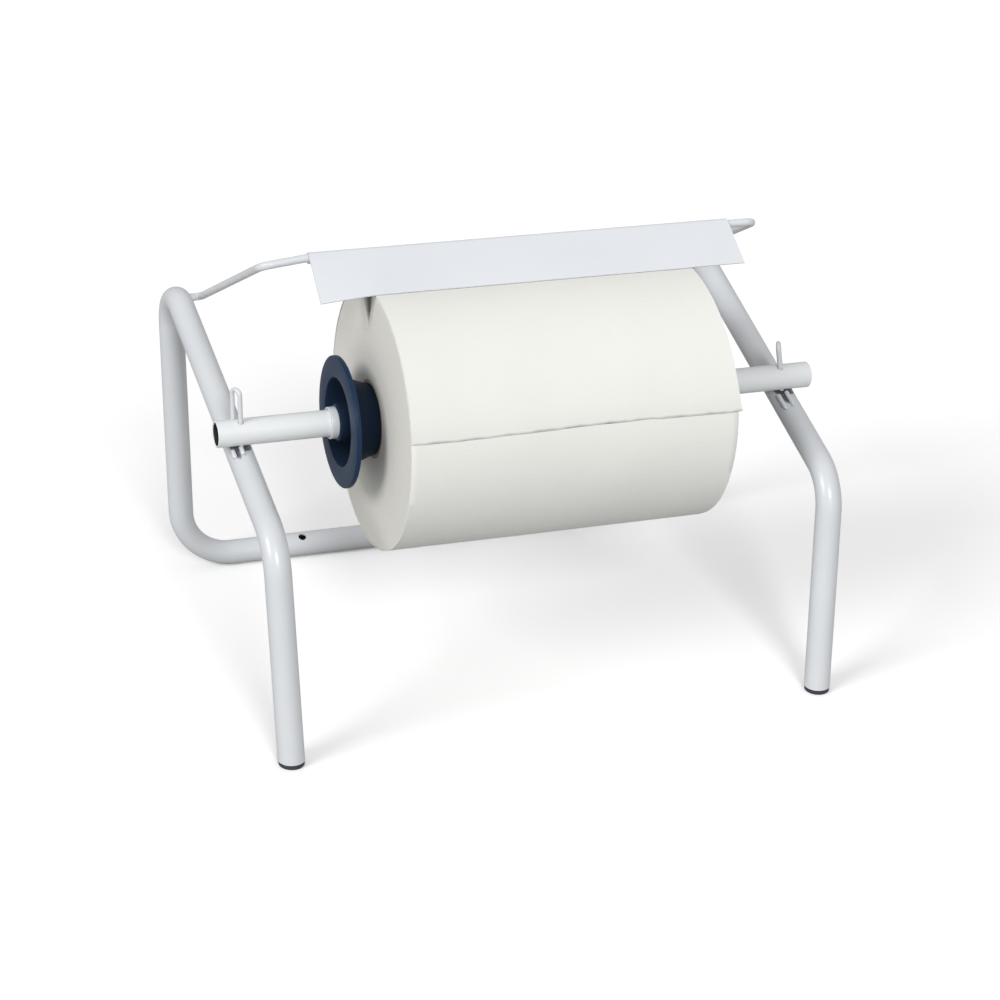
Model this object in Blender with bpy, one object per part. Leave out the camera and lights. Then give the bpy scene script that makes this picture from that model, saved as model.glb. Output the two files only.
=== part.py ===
# A bench stand of bent tube that carries one large wiper roll on a cross spindle, with a hinged tear blade.
# X runs along the spindle, -Y is the front, +Z is up; the floor is z = 0 and lengths are in metres.
import bpy
import bmesh
import numpy as np
from mathutils import Vector

# The bent tube of the stand. Its side profile is given by the corners of its centreline; the two sides
# flare outward with height, and their spacing is measured level with the rear bar.
TUBE_OD = 0.020
TUBE_WALL = 0.0015
SIDE_SPACING = 0.4234
SIDE_FLARE_DEGREES = 2.23
FRONT_LEG_SETBACK = 0.0238
KNEE_HEIGHT = 0.1668
TOP_SETBACK = 0.3292
TOP_HEIGHT = 0.2602
KNEE_BEND_RADIUS = 0.038
TOP_BEND_RADIUS = 0.031
BAR_BEND_RADIUS = 0.044
SCREW_HOLE_DIAMETER = 0.0065
SCREW_HOLE_SPACING = 0.222
SCREW_HOLE_DEGREES = 62

# The plugs in the ends of the front legs.
PLUG_DISC_DIAMETER = 0.0192
PLUG_DISC_THICKNESS = 0.0035
PLUG_STEM_LENGTH = 0.014

# The spindle that lies across the side rails and stands past them.
SPINDLE_OD = 0.020
SPINDLE_WALL = 0.0015
SPINDLE_OVERHANG = 0.0184
SPINDLE_SHIFT = -0.0012
SPINDLE_SETBACK = 0.1151

# The hairpin wires that locate the spindle. Each leans to the left and rises above the spindle's axis by its
# own length; both legs pass through holes in the spindle.
PIN_WIRE_DIAMETER = 0.0035
PIN_LEG_SPACING = 0.0082
PIN_RISES = {"left": 0.0355, "right": 0.0305}
PIN_LEANS_DEGREES = {"left": 2, "right": 10}
PIN_SHIFT = -0.003
PIN_TURN_DEGREES = 62
PIN_BEND_SHARE = 0.98
PIN_HOLE_CLEARANCE = 0.0004

# The roll of paper and its core. The paper has slipped sideways: its right end stands past the core.
CORE_BORE = 0.053
CORE_OD = 0.059
ROLL_DIAMETER = 0.1974
ROLL_WIDTH = 0.2545
ROLL_SHIFT = 0.00665
PAPER_PAST_CORE = 0.0075
TAIL_THICKNESS = 0.0005
TAIL_EDGE_DEGREES = 168.1
TAIL_SPAN_DEGREES = 285
TAIL_SKEW = 0.0028

# The flanged cones, described from the flange's outer face towards the roll.
FLANGE_STANDOFF = 0.0254
FLANGE_DIAMETER = 0.099
FLANGE_THICKNESS = 0.004
FLANGE_ROUNDING = 0.0012
CONE_ROOT_DIAMETER = 0.068
CONE_WALL = 0.0024
CONE_NOSE_LENGTH = 0.014
CONE_WEB = 0.003
HUB_DIAMETER = 0.0288
HUB_PROUD = 0.0012
HUB_CHAMFER = 0.002

# The stop collars and their set screws.
COLLAR_DIAMETER = 0.024
COLLAR_WIDTH = 0.006
COLLAR_CHAMFER = 0.0009
SET_SCREW_DIAMETER = 0.003
SET_SCREW_LENGTH = 0.0016
SET_SCREW_SOCKET = 0.0015
SET_SCREW_SOCKET_DEPTH = 0.001
SET_SCREW_DEGREES = -35

# The rod that carries the tear blade, bent from one length of wire. It is placed from the spindle's axis
# and the top of the roll, and its ends from the corners of the top bends. Its left corner sags a little.
ROD_DIAMETER = 0.006
ROD_BEHIND_AXIS = 0.0324
ROD_ABOVE_ROLL = 0.01935
ROD_SPAN = 0.392
ROD_SAG = 0.0034
ROD_SAG_LENGTH = 0.0325
ROD_SAG_BEND_RADIUS = 0.03
ROD_WELD_BEFORE_TOP = 0.0207
ROD_STUB = 0.0097
ROD_STUB_BEND_RADIUS = 0.007
ROD_BEND_RADIUS = 0.009

# The tear blade, hemmed round the rod.
BLADE_THICKNESS = 0.0009
BLADE_LENGTH = 0.3331
BLADE_SHIFT = 0.00535
BLADE_DEPTH = 0.042
HEM_DEGREES = 300
EDGE_LIFT = 0.0004

# Shared fits and mesh fineness.
FIT = 0.0003
OVERRUN = 0.004
ARC_STEP_DEGREES = 9
TUBE_SIDES = 24
WIRE_SIDES = 12
CONE_SIDES = 36
ROLL_SIDES = 60
HEX_SIDES = 6
FULL_TURN_DEGREES = 360

TUBE_RADIUS = TUBE_OD / 2
SPINDLE_RADIUS = SPINDLE_OD / 2
WIRE_RADIUS = PIN_WIRE_DIAMETER / 2
ROD_RADIUS = ROD_DIAMETER / 2
ROLL_RADIUS = ROLL_DIAMETER / 2
CORE_RADIUS = CORE_OD / 2
FLARE = np.tan(np.radians(SIDE_FLARE_DEGREES))
LEG_LEAN = np.arctan2(FRONT_LEG_SETBACK, KNEE_HEIGHT)
RAIL_SLOPE = np.arctan2(TOP_HEIGHT - KNEE_HEIGHT, TOP_SETBACK - FRONT_LEG_SETBACK)
RAIL_AT_SPINDLE = KNEE_HEIGHT + (SPINDLE_SETBACK - FRONT_LEG_SETBACK) * np.tan(RAIL_SLOPE)
SPINDLE_HEIGHT = RAIL_AT_SPINDLE + (TUBE_RADIUS + SPINDLE_RADIUS + FIT) / np.cos(RAIL_SLOPE)
ROD_SETBACK = SPINDLE_SETBACK + ROD_BEHIND_AXIS
ROD_HEIGHT = SPINDLE_HEIGHT + ROLL_RADIUS + ROD_ABOVE_ROLL
FOOT_FRONT = -PLUG_DISC_DIAMETER / 2 / np.cos(LEG_LEAN)
CENTRING = Vector((0, -(TOP_SETBACK + TUBE_RADIUS + FOOT_FRONT) / 2, 0))
AXIS_POINT = Vector((0, SPINDLE_SETBACK, SPINDLE_HEIGHT)) + CENTRING
SIDES = {"left": -1, "right": 1}


def clear_scene():
    for thing in list(bpy.data.objects):
        bpy.data.objects.remove(thing)


def material(name, colour, roughness, metallic):
    made = bpy.data.materials.new(name)
    made.use_nodes = True
    shader = made.node_tree.nodes["Principled BSDF"]
    shader.inputs["Base Color"].default_value = (*colour, 1)
    shader.inputs["Roughness"].default_value = roughness
    shader.inputs["Metallic"].default_value = metallic
    return made


def add_mesh(name, points, faces, look=None, origin=Vector((0, 0, 0)), smooth_degrees=35):
    """One object whose origin is at the given point; the points are given in the stand's own frame."""
    mesh = bpy.data.meshes.new(name)
    mesh.from_pydata([tuple(Vector(p) + CENTRING - origin) for p in points], [], faces)
    work = bmesh.new()
    work.from_mesh(mesh)
    bmesh.ops.recalc_face_normals(work, faces=work.faces)
    work.to_mesh(mesh)
    work.free()
    mesh.shade_smooth()
    mesh.set_sharp_from_angle(angle=np.radians(smooth_degrees))
    if look:
        mesh.materials.append(look)
    made = bpy.data.objects.new(name, mesh)
    made.location = origin
    bpy.context.collection.objects.link(made)
    return made


def cut(target, cutter_name, points, faces):
    cutter = add_mesh(cutter_name, points, faces)
    cutter.hide_render = True
    cutter.display_type = "WIRE"
    step = target.modifiers.new(cutter_name, "BOOLEAN")
    step.operation = "DIFFERENCE"
    step.solver = "EXACT"
    step.object = cutter


def bent_path(corners, bend_radii):
    """Points along straight runs joined by arcs; bend_radii holds one radius for each inner corner."""
    path = [np.array(corners[0], float)]
    for before, corner, after, radius in zip(corners, corners[1:], corners[2:], bend_radii):
        corner = np.array(corner, float)
        back = np.array(before) - corner
        ahead = np.array(after) - corner
        back /= np.linalg.norm(back)
        ahead /= np.linalg.norm(ahead)
        half_open = np.arccos(back @ ahead) / 2
        middle = back + ahead
        centre = corner + middle / np.linalg.norm(middle) * radius / np.sin(half_open)
        start = corner + back * radius / np.tan(half_open) - centre
        turn = np.pi - 2 * half_open
        onward = -back * radius
        steps = int(np.ceil(np.degrees(turn) / ARC_STEP_DEGREES))
        for part in range(steps + 1):
            angle = turn * part / steps
            path.append(centre + start * np.cos(angle) + onward * np.sin(angle))
    path.append(np.array(corners[-1], float))
    return np.array(path)


def rings_along(path, radius, sides, first_side):
    """Circles of points square to the path, carried along without twist."""
    tangents = np.gradient(path, axis=0)
    tangents[0] = path[1] - path[0]
    tangents[-1] = path[-1] - path[-2]
    tangents /= np.linalg.norm(tangents, axis=1)[:, None]
    for index in range(1, len(path) - 1):
        ahead = path[index + 1] - path[index]
        behind = path[index] - path[index - 1]
        mean = ahead / np.linalg.norm(ahead) + behind / np.linalg.norm(behind)
        tangents[index] = mean / np.linalg.norm(mean)
    across = np.array(first_side, float)
    angles = 2 * np.pi * np.arange(sides) / sides
    rings = []
    for point, tangent in zip(path, tangents):
        across = across - tangent * (across @ tangent)
        across /= np.linalg.norm(across)
        other = np.cross(tangent, across)
        rings.append(point + radius * (np.cos(angles)[:, None] * across + np.sin(angles)[:, None] * other))
    return np.array(rings)


def level_cut(ring, direction, height):
    """Slides the points of an end ring along the tube until they lie at one height."""
    lift = (height - ring[:, 2]) / direction[2]
    return ring + lift[:, None] * direction


def skin(rings, closed_loop=False):
    """Quads between neighbouring rings; closed_loop joins the last ring to the first."""
    count, sides = rings.shape[:2]
    faces = []
    for row in range(count if closed_loop else count - 1):
        below = row * sides
        above = (row + 1) % count * sides
        for side in range(sides):
            beside = (side + 1) % sides
            faces.append((below + side, below + beside, above + beside, above + side))
    return rings.reshape(-1, 3), faces


def solid_sweep(rings):
    """A solid along the rings, each end closed by a fan about its middle point."""
    points, faces = skin(rings)
    sides = rings.shape[1]
    ends = np.array([rings[0].mean(axis=0), rings[-1].mean(axis=0)])
    last = len(points) - sides
    for side in range(sides):
        beside = (side + 1) % sides
        faces.append((side, beside, len(points)))
        faces.append((last + side, last + beside, len(points) + 1))
    return np.vstack([points, ends]), faces


def turned(profile, sides, centre=(SPINDLE_SETBACK, SPINDLE_HEIGHT)):
    """A solid of revolution about an axis along X, from a closed profile of (x, radius) points."""
    angles = 2 * np.pi * np.arange(sides) / sides
    rings = []
    for x, radius in profile:
        ring = np.empty((sides, 3))
        ring[:, 0] = x
        ring[:, 1] = centre[0] + radius * np.cos(angles)
        ring[:, 2] = centre[1] + radius * np.sin(angles)
        rings.append(ring)
    return skin(np.array(rings), closed_loop=True)


def rod_between(start, end, radius, sides):
    path = np.array([start, end], float)
    along = path[1] - path[0]
    aside = np.cross(along, (0, 1, 0)) if abs(along[2]) > abs(along[1]) else np.cross(along, (1, 0, 0))
    return solid_sweep(rings_along(path, radius, sides, aside))


def carrier(name):
    """An empty on the spindle's axis, which moving pieces hang from."""
    made = bpy.data.objects.new(name, None)
    made.location = AXIS_POINT
    bpy.context.collection.objects.link(made)
    return made


def hang(piece, parent):
    bpy.context.view_layer.update()
    piece.parent = parent
    piece.matrix_parent_inverse = parent.matrix_world.inverted()


def side_x(height):
    """Distance of a side frame's centreline from the middle of the stand, at one height."""
    return SIDE_SPACING / 2 + (height - TUBE_RADIUS) * FLARE


def side_profile(side):
    """Corners of one side frame's centreline from the foot to the rear bar."""
    foot_height = PLUG_DISC_THICKNESS + FIT
    corners = [(foot_height * np.tan(LEG_LEAN), foot_height), (FRONT_LEG_SETBACK, KNEE_HEIGHT),
               (TOP_SETBACK, TOP_HEIGHT), (TOP_SETBACK, TUBE_RADIUS)]
    return [(side * side_x(z), y, z) for y, z in corners]


def build_frame(look):
    left = side_profile(SIDES["left"])
    right = side_profile(SIDES["right"])
    bends = [KNEE_BEND_RADIUS, TOP_BEND_RADIUS, BAR_BEND_RADIUS]
    path = bent_path(left + right[::-1], bends + bends[::-1])
    shells = []
    for radius in (TUBE_RADIUS, TUBE_RADIUS - TUBE_WALL):
        rings = rings_along(path, radius, TUBE_SIDES, (1, 0, 0))
        for end, neighbour in ((0, 1), (-1, -2)):
            rings[end] = level_cut(rings[end], path[end] - path[neighbour], path[end][2])
        shells.append(rings)
    outer, inner = shells
    frame = add_mesh("frame_tube", *skin(np.concatenate([outer, inner[::-1]]), closed_loop=True), look)
    tilt = np.radians(SCREW_HOLE_DEGREES)
    upward = np.array([0, -np.cos(tilt), np.sin(tilt)]) * (TUBE_RADIUS + OVERRUN)
    for name, side in SIDES.items():
        middle = np.array([side * SCREW_HOLE_SPACING / 2, TOP_SETBACK, TUBE_RADIUS])
        cut(frame, "screw_hole_" + name,
            *rod_between(middle - upward, middle + upward, SCREW_HOLE_DIAMETER / 2, WIRE_SIDES))


def build_plugs(look):
    stem_radius = TUBE_RADIUS - TUBE_WALL - FIT
    disc_radius = PLUG_DISC_DIAMETER / 2
    for name, side in SIDES.items():
        step = np.array([side * FLARE, np.tan(LEG_LEAN), 1])
        base = np.array([side * side_x(0), 0, 0])
        rings = []
        for height, radius in ((0, disc_radius), (PLUG_DISC_THICKNESS, disc_radius),
                               (PLUG_DISC_THICKNESS, stem_radius),
                               (PLUG_DISC_THICKNESS + PLUG_STEM_LENGTH, stem_radius)):
            path = np.array([base + step * height, base + step * (height + PLUG_STEM_LENGTH)])
            ring = rings_along(path, radius, TUBE_SIDES, (1, 0, 0))[0]
            rings.append(level_cut(ring, step, height))
        add_mesh("foot_plug_" + name, *solid_sweep(np.array(rings)), look)


def pin_place(name):
    """Where a hairpin stands under the spindle, a little left of its rail's crest, the way up along its legs
    and the half step across from its middle to one leg."""
    side = SIDES[name]
    lean = np.radians(PIN_LEANS_DEGREES[name])
    turn = np.radians(PIN_TURN_DEGREES)
    middle = np.array([side * side_x(RAIL_AT_SPINDLE) + PIN_SHIFT, SPINDLE_SETBACK, SPINDLE_HEIGHT - SPINDLE_RADIUS])
    up = np.array([-np.sin(lean), 0, np.cos(lean)])
    across = np.array([np.cos(turn), side * np.sin(turn), 0])
    across -= up * (across @ up)
    return middle, up, across / np.linalg.norm(across) * PIN_LEG_SPACING / 2


def build_spindle(look):
    end = side_x(RAIL_AT_SPINDLE) + SPINDLE_OVERHANG
    left = SPINDLE_SHIFT - end
    right = SPINDLE_SHIFT + end
    bore = SPINDLE_RADIUS - SPINDLE_WALL
    profile = [(left, bore), (left, SPINDLE_RADIUS), (right, SPINDLE_RADIUS), (right, bore)]
    spindle = add_mesh("spindle", *turned(profile, TUBE_SIDES), look)
    for name in SIDES:
        middle, up, half = pin_place(name)
        for leg, foot in (("front", middle - half), ("rear", middle + half)):
            cut(spindle, f"pin_hole_{name}_{leg}",
                *rod_between(foot - up * OVERRUN, foot + up * (SPINDLE_OD + OVERRUN),
                             WIRE_RADIUS + PIN_HOLE_CLEARANCE, WIRE_SIDES))


def seat_on_rail(points, side, up):
    """Slides points along an upright wire onto the rail's round top, one fit above it: each moves by the larger
    root t of |offset + t * climb| = reach, both taken square to the rail."""
    rail = np.array([side * FLARE * np.sin(RAIL_SLOPE), np.cos(RAIL_SLOPE), np.sin(RAIL_SLOPE)])
    rail /= np.linalg.norm(rail)
    offset = points - np.array([side * side_x(RAIL_AT_SPINDLE), SPINDLE_SETBACK, RAIL_AT_SPINDLE])
    offset -= (offset @ rail)[:, None] * rail
    climb = up - rail * (up @ rail)
    square = climb @ climb
    cross = offset @ climb
    short = (TUBE_RADIUS + FIT) ** 2 - np.sum(offset ** 2, axis=1)
    return points + ((np.sqrt(cross ** 2 + square * short) - cross) / square)[:, None] * up


def build_pins(look):
    bend = PIN_LEG_SPACING / 2 * PIN_BEND_SHARE
    for name, side in SIDES.items():
        middle, up, half = pin_place(name)
        top = middle + up * (SPINDLE_RADIUS + PIN_RISES[name] - WIRE_RADIUS)
        path = bent_path([middle - half, top - half, top + half, middle + half], [bend, bend])
        rings = rings_along(path, WIRE_RADIUS, WIRE_SIDES, half)
        rings[0] = seat_on_rail(rings[0], side, up)
        rings[-1] = seat_on_rail(rings[-1], side, up)
        points, faces = solid_sweep(rings)
        points[-2:] = seat_on_rail(points[-2:], side, up)
        add_mesh("locating_pin_" + name, points, faces, look)


def rail_height(setback):
    """Height of a side frame's centreline along its rail and round the top bend."""
    tangent = TOP_BEND_RADIUS / np.tan(np.pi / 4 - RAIL_SLOPE / 2)
    if setback < TOP_SETBACK - tangent * np.cos(RAIL_SLOPE):
        return RAIL_AT_SPINDLE + (setback - SPINDLE_SETBACK) * np.tan(RAIL_SLOPE)
    from_centre = setback - (TOP_SETBACK - TOP_BEND_RADIUS)
    return TOP_HEIGHT - tangent + np.sqrt(TOP_BEND_RADIUS ** 2 - from_centre ** 2)


def build_rod(look):
    weld_y = TOP_SETBACK - ROD_WELD_BEFORE_TOP
    weld_z = rail_height(weld_y)
    end_x = side_x(weld_z) - TUBE_RADIUS - FIT
    stub_x = end_x - ROD_STUB
    half = ROD_SPAN / 2
    corners = [(-end_x, weld_y, weld_z), (-stub_x, weld_y, weld_z),
               (-half, ROD_SETBACK, ROD_HEIGHT - ROD_SAG), (ROD_SAG_LENGTH - half, ROD_SETBACK, ROD_HEIGHT),
               (half, ROD_SETBACK, ROD_HEIGHT), (stub_x, weld_y, weld_z), (end_x, weld_y, weld_z)]
    radii = [ROD_STUB_BEND_RADIUS, ROD_BEND_RADIUS, ROD_SAG_BEND_RADIUS, ROD_BEND_RADIUS, ROD_STUB_BEND_RADIUS]
    path = bent_path(corners, radii)
    add_mesh("tear_rod", *solid_sweep(rings_along(path, ROD_RADIUS, WIRE_SIDES, (0, 0, 1))), look)


def build_blade(look):
    """A sheet profile: a hem round the rod and a flat plate whose lower edge rests just off the roll."""
    hem_inner = ROD_RADIUS + FIT
    hem_outer = hem_inner + BLADE_THICKNESS
    rod = np.array([ROD_SETBACK, ROD_HEIGHT])
    to_axis = np.array([SPINDLE_SETBACK, SPINDLE_HEIGHT]) - rod
    distance = np.linalg.norm(to_axis)
    edge_reach = np.hypot(hem_inner, BLADE_DEPTH)
    edge_radius = ROLL_RADIUS + FIT + TAIL_THICKNESS + EDGE_LIFT
    inside = np.arccos((edge_reach ** 2 + distance ** 2 - edge_radius ** 2) / (2 * edge_reach * distance))
    edge_angle = np.arctan2(to_axis[1], to_axis[0]) - inside
    plate_angle = edge_angle + np.arctan2(hem_inner, BLADE_DEPTH)
    along = np.array([np.cos(plate_angle), np.sin(plate_angle)])
    outward = np.array([along[1], -along[0]])
    steps = int(np.ceil(HEM_DEGREES / ARC_STEP_DEGREES / 2))
    angles = np.radians(HEM_DEGREES) * np.arange(steps + 1) / steps
    curl = np.cos(angles)[:, None] * outward - np.sin(angles)[:, None] * along
    profile = np.vstack([rod + outward * hem_inner + along * BLADE_DEPTH,
                         rod + hem_inner * curl,
                         (rod + hem_outer * curl)[::-1],
                         rod + outward * hem_outer + along * BLADE_DEPTH])
    ends = [BLADE_SHIFT - BLADE_LENGTH / 2, BLADE_SHIFT + BLADE_LENGTH / 2]
    points = [(x, y, z) for x in ends for y, z in profile]
    count = len(profile)
    faces = [(i, (i + 1) % count, count + (i + 1) % count, count + i) for i in range(count)]
    pairs = [(i, i + 1, count - 2 - i, count - 1 - i) for i in range(count // 2 - 1)]
    faces += pairs + [tuple(count + i for i in quad) for quad in pairs]
    origin = Vector((0, ROD_SETBACK, ROD_HEIGHT)) + CENTRING
    return add_mesh("tear_blade", points, faces, look, origin)


def build_cones(look, faces_x):
    """Flanged hollow cones; the profile runs round the flange, down the cone, over the web and up the hub."""
    face_radius = CORE_BORE / 2 - FIT
    root_radius = CONE_ROOT_DIAMETER / 2
    taper = (root_radius - face_radius) / (FLANGE_STANDOFF - FLANGE_THICKNESS)
    nose = FLANGE_STANDOFF + CONE_NOSE_LENGTH

    def cone_radius(depth):
        return root_radius - taper * (depth - FLANGE_THICKNESS)

    flange = FLANGE_DIAMETER / 2
    bore = SPINDLE_RADIUS + FIT
    hub = HUB_DIAMETER / 2
    web_top = nose - CONE_WEB
    profile = [(FLANGE_ROUNDING, flange), (FLANGE_THICKNESS - FLANGE_ROUNDING, flange),
               (FLANGE_THICKNESS, flange - FLANGE_ROUNDING), (FLANGE_THICKNESS, root_radius),
               (nose, cone_radius(nose)), (nose, bore), (-HUB_PROUD, bore),
               (-HUB_PROUD, hub - HUB_CHAMFER), (HUB_CHAMFER - HUB_PROUD, hub), (web_top, hub),
               (web_top, cone_radius(web_top) - CONE_WALL), (0, cone_radius(0) - CONE_WALL),
               (0, flange - FLANGE_ROUNDING)]
    made = {}
    for name, side in SIDES.items():
        outer_face = faces_x[name] + side * FLANGE_STANDOFF
        placed = [(outer_face - side * depth, radius) for depth, radius in profile]
        made[name] = add_mesh("cone_" + name, *turned(placed, CONE_SIDES), look, AXIS_POINT)
    return made


def build_collars(look, screw_look, faces_x):
    bore = SPINDLE_RADIUS + FIT
    outer = COLLAR_DIAMETER / 2
    turn = np.radians(SET_SCREW_DEGREES)
    away = np.array([0, np.cos(turn), np.sin(turn)])
    centre = np.array([0, SPINDLE_SETBACK, SPINDLE_HEIGHT])
    profile = [(0, bore), (0, outer - COLLAR_CHAMFER), (COLLAR_CHAMFER, outer),
               (COLLAR_WIDTH - COLLAR_CHAMFER, outer), (COLLAR_WIDTH, outer - COLLAR_CHAMFER),
               (COLLAR_WIDTH, bore)]
    made = {}
    for name, side in SIDES.items():
        inner_face = faces_x[name] + side * (FLANGE_STANDOFF + HUB_PROUD + FIT)
        placed = [(inner_face + side * depth, radius) for depth, radius in profile]
        collar = add_mesh("collar_" + name, *turned(placed, TUBE_SIDES), look, AXIS_POINT)
        middle = centre + np.array([inner_face + side * COLLAR_WIDTH / 2, 0, 0])
        screw_radius = SET_SCREW_DIAMETER / 2
        tip = middle + away * (bore + FIT / 2)
        head = tip + away * SET_SCREW_LENGTH
        cut(collar, "set_screw_hole_" + name,
            *rod_between(middle, middle + away * (outer + OVERRUN), screw_radius + FIT, WIRE_SIDES))
        screw = add_mesh("collar_screw_" + name, *rod_between(tip, head, screw_radius, WIRE_SIDES),
                         screw_look, AXIS_POINT)
        cut(screw, "hex_socket_" + name,
            *rod_between(head - away * SET_SCREW_SOCKET_DEPTH, head + away * OVERRUN, SET_SCREW_SOCKET / 2,
                         HEX_SIDES))
        made[name] = (collar, screw)
    return made


def ring_profile(faces_x, inner, outer):
    return [(faces_x["left"], inner), (faces_x["left"], outer), (faces_x["right"], outer), (faces_x["right"], inner)]


def build_roll(paper_look, core_look, faces_x, core_faces_x):
    tube = ring_profile(core_faces_x, CORE_BORE / 2, CORE_RADIUS)
    wound = ring_profile(faces_x, CORE_RADIUS + FIT, ROLL_RADIUS)
    core = add_mesh("roll_core", *turned(tube, CONE_SIDES), core_look, AXIS_POINT)
    roll = add_mesh("wipe_roll", *turned(wound, ROLL_SIDES), paper_look, AXIS_POINT)
    return core, roll


def build_tail(look, faces_x):
    """The outer wrap, from under the blade to its free edge on the front; its right side wanders outward."""
    inner = ROLL_RADIUS + FIT
    outer = inner + TAIL_THICKNESS
    steps = int(np.ceil(TAIL_SPAN_DEGREES * ROLL_SIDES / FULL_TURN_DEGREES))
    rings = []
    for part in range(steps + 1):
        angle = np.radians(TAIL_EDGE_DEGREES - TAIL_SPAN_DEGREES * (1 - part / steps))
        right = faces_x["right"] + TAIL_SKEW * part / steps
        corners = ((faces_x["left"], inner), (right, inner), (right, outer), (faces_x["left"], outer))
        rings.append([(x, SPINDLE_SETBACK + radius * np.cos(angle),
                       SPINDLE_HEIGHT + radius * np.sin(angle)) for x, radius in corners])
    return add_mesh("wipe_tail", *solid_sweep(np.array(rings)), look, AXIS_POINT)


clear_scene()
coating = material("white_coating", (0.72, 0.74, 0.75), 0.38, 0)
spindle_coating = material("spindle_coating", (0.74, 0.76, 0.76), 0.36, 0)
wire_coating = material("wire_coating", (0.62, 0.64, 0.66), 0.42, 0)
blade_coating = material("blade_coating", (0.80, 0.81, 0.84), 0.34, 0)
plug_plastic = material("plug_plastic", (0.035, 0.037, 0.055), 0.55, 0)
cone_plastic = material("cone_plastic", (0.018, 0.035, 0.105), 0.38, 0)
collar_coating = material("collar_coating", (0.68, 0.71, 0.72), 0.40, 0)
screw_steel = material("screw_steel", (0.45, 0.46, 0.48), 0.32, 1)
paper = material("wipe_paper", (0.86, 0.86, 0.82), 0.92, 0)
tail_paper = material("tail_paper", (0.87, 0.87, 0.83), 0.92, 0)
board = material("core_board", (0.42, 0.33, 0.24), 0.85, 0)

ROLL_FACES = {name: ROLL_SHIFT + side * ROLL_WIDTH / 2 for name, side in SIDES.items()}
CORE_FACES = {"left": ROLL_FACES["left"], "right": ROLL_FACES["right"] - PAPER_PAST_CORE}

build_frame(coating)
build_plugs(plug_plastic)
build_spindle(spindle_coating)
build_pins(wire_coating)
build_rod(wire_coating)
build_blade(blade_coating)
cones = build_cones(cone_plastic, CORE_FACES)
collars = build_collars(collar_coating, screw_steel, CORE_FACES)
core, roll = build_roll(paper, board, ROLL_FACES, CORE_FACES)
tail = build_tail(tail_paper, ROLL_FACES)

roll_axis = carrier("roll_axis")
for piece in (core, roll, tail):
    hang(piece, roll_axis)
for name in SIDES:
    slide = carrier("collar_slide_" + name)
    for piece in (*collars[name], cones[name]):
        hang(piece, slide)
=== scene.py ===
# A bench dispenser for industrial wipes: a stand of bent white tube, one large paper roll on a cross spindle
# between flanged navy cones, and a hinged blade that rests on the roll. Lengths are in metres; X runs along
# the spindle, -Y is the front and +Z is up.
import bmesh
import bpy
import numpy as np
from mathutils import Matrix, Vector


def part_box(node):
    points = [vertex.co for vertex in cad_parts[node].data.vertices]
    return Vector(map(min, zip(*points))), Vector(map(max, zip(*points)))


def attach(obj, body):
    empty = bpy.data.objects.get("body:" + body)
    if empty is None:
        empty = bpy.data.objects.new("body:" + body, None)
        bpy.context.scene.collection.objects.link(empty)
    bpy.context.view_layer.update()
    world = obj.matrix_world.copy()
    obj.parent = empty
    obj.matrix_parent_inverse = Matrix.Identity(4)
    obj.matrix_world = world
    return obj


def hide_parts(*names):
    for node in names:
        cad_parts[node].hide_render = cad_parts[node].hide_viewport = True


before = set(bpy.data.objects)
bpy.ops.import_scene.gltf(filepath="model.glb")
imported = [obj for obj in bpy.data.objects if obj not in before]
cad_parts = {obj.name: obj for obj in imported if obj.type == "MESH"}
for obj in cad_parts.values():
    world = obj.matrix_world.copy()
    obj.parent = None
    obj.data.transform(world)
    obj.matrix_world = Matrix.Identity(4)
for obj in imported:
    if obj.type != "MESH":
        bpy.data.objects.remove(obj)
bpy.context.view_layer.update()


# The stand: one length of 20 mm steel tube, cold bent into two front legs, two rising rails and a rear bar
# that lies on the bench, then powder coated white. Two screw holes are drilled through the rear bar. Painted
# shade darkens the coat under the spindle and between the pins' feet. The inside of the tube is bare steel,
# painted nearly black as shade.
TUBE_RADIUS = 0.010
TUBE_WALL = 0.0015
TUBE_SIDES = 72
TUBE_STEPS = (0.007, 0.0022)
BAR_HEIGHT = 0.010
HALF_SPACING = 0.2117
FLARE = np.tan(np.radians(2.23))
AXIS_FROM_FOOT = 0.1151
KNEE = (0.0238, 0.1668)
TOP = (0.3292, 0.2602)
FOOT_HEIGHT = 0.0038
BEND_RADII = (0.038, 0.031, 0.044)
BEND_FLATTENING = 0.07
HOLE_RADIUS = 0.00325
HOLE_HALF_SPACING = 0.111
HOLE_TILT = np.radians(62)
HOLE_SIDES = 40
DRILL_REACH = 0.02
# Painted shade: the coat turns dark in a band just under the spindle and in a spot between each pin's feet.
SHADE_SPOT_HEIGHT = 0.2011
SHADE_BELOW_SPINDLE = (0.0136, 0.0148)
SHADE_SPOT_RADII = (0.0014, 0.0030)
SHADE_SPOT_STRETCH = (1, 0.25, 1)
SHADE_SPOT_OFFSETS = {"left": (-0.0040, -0.0035), "right": (-0.0040, -0.0075)}
PAINTED_SHADE_COLOUR = (0.10, 0.11, 0.115)

spindle_low, spindle_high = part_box("spindle")
AXIS_Y = (spindle_low.y + spindle_high.y) / 2
AXIS_Z = (spindle_low.z + spindle_high.z) / 2
FOOT_Y = AXIS_Y - AXIS_FROM_FOOT
RAIL_RISE = (TOP[1] - KNEE[1]) / (TOP[0] - KNEE[0])
SIDES = {"left": -1, "right": 1}


def unit(vectors):
    """Vectors divided by their lengths; a zero vector stays zero."""
    vectors = np.asarray(vectors, float)
    return vectors / np.maximum(np.linalg.norm(vectors, axis=-1, keepdims=True), 1e-12)


def side_x(height):
    """Distance of a side's centreline from the middle of the stand: it flares evenly with height."""
    return HALF_SPACING + (height - BAR_HEIGHT) * FLARE


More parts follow.
